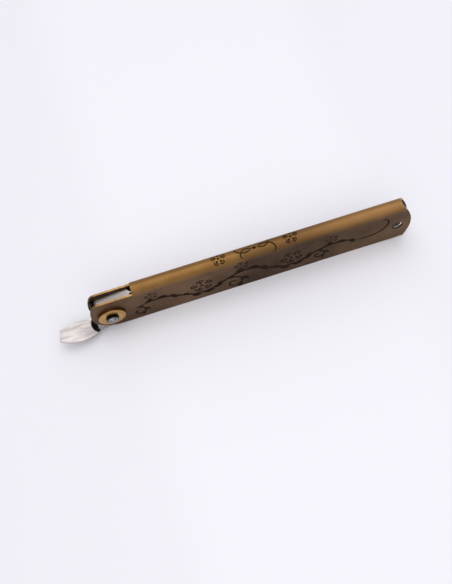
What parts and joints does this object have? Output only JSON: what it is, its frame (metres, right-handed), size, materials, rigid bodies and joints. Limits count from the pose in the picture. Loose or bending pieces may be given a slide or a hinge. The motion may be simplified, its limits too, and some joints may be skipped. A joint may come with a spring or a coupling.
{
  "type": "friction folding knife",
  "caption": "Slim folding pocket knife: a blade with a spoon-shaped thumb lever turns on a riveted pivot in a folded sheet-brass handle with a lanyard hole.",
  "frame": {"origin": "centre of the lanyard hole, midway between the two cheeks", "axes": "+X from the pivot towards the lanyard end along the handle, +Y towards the far cheek along the pivot axis, +Z towards the folded spine"},
  "size_m": [0.1116, 0.008, 0.0197],
  "materials": {
    "patinated_brass": "brown patina, satin",
    "brass": "satin",
    "blade_steel": "satin ground",
    "rivet_steel": "peened"
  },
  "bodies": {
    "handle_assembly": {"handle": "patinated_brass", "pivot_rivet": "rivet_steel", "washer_near": "brass", "washer_far": "brass"},
    "blade": {"blade": "blade_steel"}
  },
  "joints": [
    {"name": "blade_pivot", "type": "hinge", "parent": "handle_assembly", "child": "blade", "pos_m": [-0.0896, 0, 0.0002], "axis": [0, 1, 0], "range_deg": [0, 167]}
  ]
}
